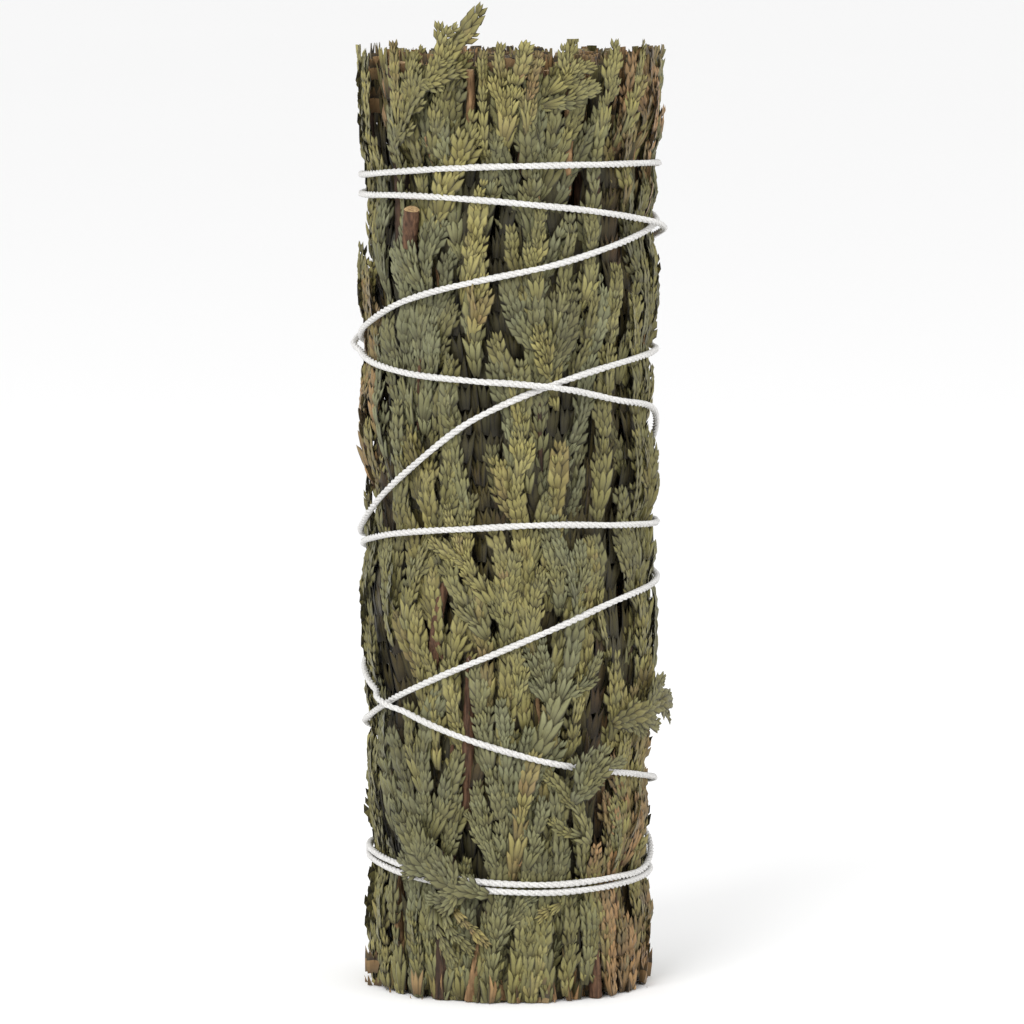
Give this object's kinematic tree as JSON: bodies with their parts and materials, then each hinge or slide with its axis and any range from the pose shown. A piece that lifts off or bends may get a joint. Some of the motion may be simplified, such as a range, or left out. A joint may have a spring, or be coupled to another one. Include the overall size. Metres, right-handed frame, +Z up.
{
  "type": "smudge stick",
  "caption": "Round bundle of dried leafy cedar sprigs with level cut ends, bound up and down its length with a white cotton thread.",
  "frame": {"origin": "The middle of the flat foot, on the cut end of the centre sprig.", "axes": "+Z runs up the bundle from its foot to its top, and -Y faces the viewer of the picture."},
  "size_m": [0.0481, 0.0478, 0.1482],
  "materials": {
    "foliage_grey_green": "dried scale leaves, matt with a faint waxy sheen",
    "foliage_olive": "dried scale leaves, matt with a faint waxy sheen",
    "foliage_yellow_green": "dried scale leaves, matt, yellower at the tips",
    "foliage_brown": "dried scale leaves, matt, browned by age",
    "wood_dark": "thin flaky bark, matt",
    "wood_red": "thin fibrous bark, matt",
    "wood_tan": "peeled and cut wood, matt",
    "cotton": "spun cotton, matt and slightly fuzzy"
  },
  "bodies": {
    "root": {"outer_spray_1_1": "foliage_grey_green", "outer_spray_1_2": "foliage_yellow_green", "outer_spray_1_3": "foliage_grey_green", "outer_spray_1_4": "foliage_grey_green", "outer_spray_2_1": "foliage_brown", "outer_spray_2_2": "foliage_olive", "outer_spray_2_3": "foliage_olive", "outer_spray_2_4": "foliage_brown", "outer_spray_3_1": "foliage_grey_green", "outer_spray_3_2": "foliage_grey_green", "outer_spray_3_3": "foliage_yellow_green", "outer_spray_3_4": "foliage_grey_green", "outer_spray_4_1": "foliage_olive", "outer_spray_4_2": "foliage_brown", "outer_spray_4_3": "foliage_olive", "outer_spray_4_4": "foliage_olive", "outer_spray_5_1": "foliage_yellow_green", "outer_spray_5_2": "foliage_grey_green", "outer_spray_5_3": "foliage_grey_green", "outer_spray_5_4": "foliage_yellow_green", "outer_spray_6_1": "foliage_olive", "outer_spray_6_2": "foliage_olive", "outer_spray_6_3": "foliage_brown", "outer_spray_6_4": "foliage_olive", "outer_spray_7_1": "foliage_grey_green", "outer_spray_7_2": "foliage_yellow_green", "outer_spray_7_3": "foliage_grey_green", "outer_spray_7_4": "foliage_grey_green", "inner_sprig_1": "foliage_olive", "inner_sprig_2": "foliage_olive", "inner_sprig_3": "foliage_olive", "inner_sprig_4": "foliage_olive", "inner_sprig_5": "foliage_olive", "inner_sprig_6": "foliage_olive", "inner_sprig_7": "foliage_olive", "core_sprig_centre": "foliage_brown", "core_sprig_1": "foliage_brown", "core_sprig_2": "foliage_brown", "core_sprig_3": "foliage_brown", "core_sprig_4": "foliage_brown", "core_sprig_5": "foliage_brown", "core_sprig_6": "foliage_brown", "stem_rim_left": "wood_dark", "stem_stub": "wood_red", "stem_foot_dark": "wood_dark", "stem_foot_tan": "wood_tan", "stem_foot_red": "wood_red", "stem_gap_low": "wood_red", "stem_gap_left": "wood_red", "stem_rim_front": "wood_tan", "sprig_above_rim": "foliage_olive", "sprig_over_ring": "foliage_grey_green", "sprig_over_thread": "foliage_grey_green", "sprig_at_right": "foliage_olive", "binding_thread": "cotton"}
  },
  "joints": []
}
